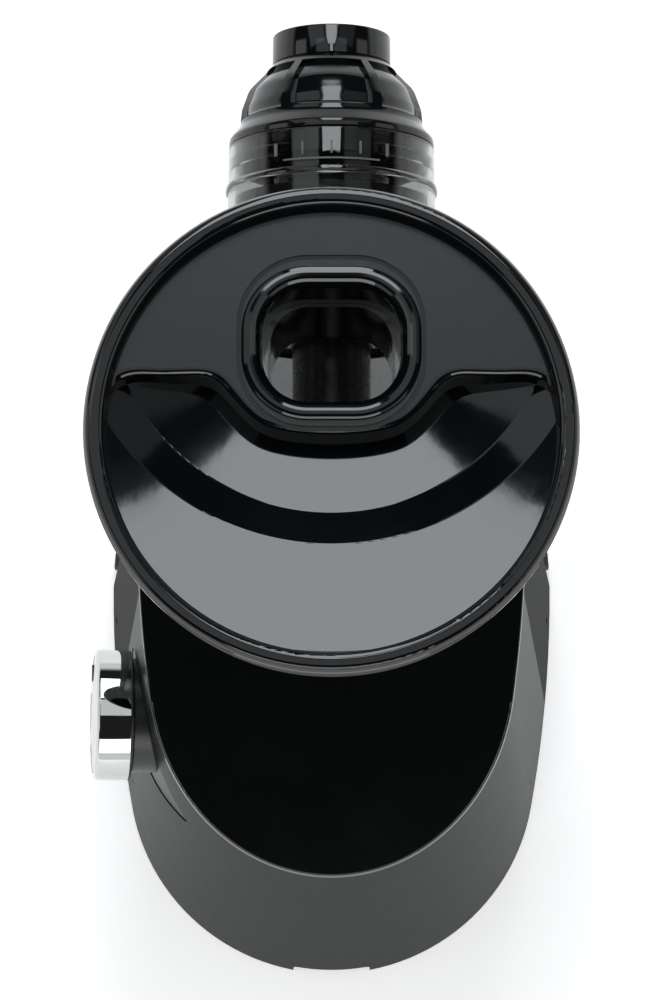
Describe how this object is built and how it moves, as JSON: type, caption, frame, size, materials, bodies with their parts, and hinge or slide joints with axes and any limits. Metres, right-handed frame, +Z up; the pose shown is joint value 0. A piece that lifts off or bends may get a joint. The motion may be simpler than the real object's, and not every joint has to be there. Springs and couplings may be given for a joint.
{
  "type": "cold press juicer",
  "caption": "Horizontal slow juicer: tapered motor base with a side knob, clear auger drum, round feed tray with scoop and chute, ribbed end cap and pulp nozzle.",
  "frame": {"origin": "on the floor, below the centre of the outer box", "axes": "+Z up, +Y along the auger axis from the motor base to the pulp nozzle, +X to the side away from the knob"},
  "size_m": [0.2035, 0.3764, 0.332],
  "materials": {
    "graphite": "metallic satin",
    "gloss_black": "high gloss",
    "satin_black": "satin",
    "matte_black": "fine texture",
    "rubber_black": "matte",
    "zinc_steel": "zinc plated",
    "bearing_steel": "ground",
    "gearbox_grey": "die cast",
    "bronze": "sintered",
    "motor_steel": "satin",
    "copper": "enamelled wire",
    "cast_alloy": "cast",
    "board_green": "solder mask",
    "gear_steel": "machined",
    "gear_nylon": "moulded",
    "auger_resin": "moulded",
    "chrome": "mirror",
    "knob_silver": "satin",
    "smoke_clear": "clear smoke tint",
    "seal_silicone": "matte",
    "screen_steel": "etched mesh"
  },
  "bodies": {
    "base": {"rear_shell": "graphite", "control_panel": "graphite", "front_housing": "gloss_black", "top_cover": "gloss_black", "base_plate": "matte_black", "front_plinth": "gloss_black", "rubber_feet": "rubber_black", "base_screws": "zinc_steel", "cord_gland": "rubber_black", "output_bearings": "bearing_steel", "shaft_seal": "rubber_black", "gearbox_case": "gearbox_grey", "gearbox_cover": "gearbox_grey", "idler_bushes": "bronze", "gearbox_screws": "zinc_steel", "motor_can": "motor_steel", "stator_core": "motor_steel", "stator_windings": "copper", "stator_windings_front": "copper", "motor_end_bell": "cast_alloy", "motor_front_bush": "bronze", "motor_cradle": "matte_black", "rotary_switch": "matte_black", "knob_bezel": "satin_black", "board_holder": "matte_black", "control_board": "board_green", "motor_capacitor": "cast_alloy"},
    "output": {"output_shaft": "bearing_steel", "output_gear": "gear_steel", "auger": "auger_resin"},
    "idler": {"idler_shaft": "bearing_steel", "idler_gear": "gear_nylon", "idler_pinion": "gear_steel"},
    "rotor": {"motor_shaft": "bearing_steel", "motor_pinion": "gear_steel", "rotor_core": "motor_steel", "cooling_fan": "matte_black"},
    "knob": {"control_knob": "chrome", "knob_face": "knob_silver", "knob_pointer": "satin_black", "switch_shaft": "matte_black"},
    "drum": {"juicing_drum": "smoke_clear", "juice_spout": "smoke_clear", "drum_rear_seal": "seal_silicone", "drum_scale_marks": "smoke_clear", "screen_frame": "auger_resin", "screen_mesh": "screen_steel"},
    "tray": {"feed_tray": "gloss_black"},
    "cap": {"end_cap": "gloss_black"},
    "nozzle": {"pulp_nozzle": "satin_black"}
  },
  "joints": [
    {"name": "output_spin", "type": "hinge", "parent": "base", "child": "output", "pos_m": [0, 0, 0.19], "axis": [0, 1, 0], "continuous": true},
    {"name": "idler_spin", "type": "hinge", "parent": "base", "child": "idler", "pos_m": [0, 0, 0.1588], "axis": [0, 1, 0], "continuous": true},
    {"name": "rotor_spin", "type": "hinge", "parent": "base", "child": "rotor", "pos_m": [0, 0, 0.1303], "axis": [0, 1, 0], "continuous": true},
    {"name": "knob_turn", "type": "hinge", "parent": "base", "child": "knob", "pos_m": [-0.0855, -0.094, 0.139], "axis": [-0.9962, 0, 0.0872], "range_deg": [-45, 45]},
    {"name": "drum_twist", "type": "hinge", "parent": "base", "child": "drum", "pos_m": [0, 0, 0.19], "axis": [0, 1, 0], "range_deg": [0, 30]},
    {"name": "tray_lift", "type": "slide", "parent": "drum", "child": "tray", "axis": [0, 0, 1], "range_m": [0, 0.08]},
    {"name": "end_cap_twist", "type": "hinge", "parent": "drum", "child": "cap", "pos_m": [0, 0, 0.19], "axis": [0, 1, 0], "range_deg": [0, 30]},
    {"name": "nozzle_turn", "type": "hinge", "parent": "cap", "child": "nozzle", "pos_m": [0, 0, 0.19], "axis": [0, 1, 0], "range_deg": [0, 90]}
  ],
  "couplings": [
    {"joint": "idler_spin", "follows": "output_spin", "ratio": -3.3333},
    {"joint": "rotor_spin", "follows": "output_spin", "ratio": 12.5}
  ]
}
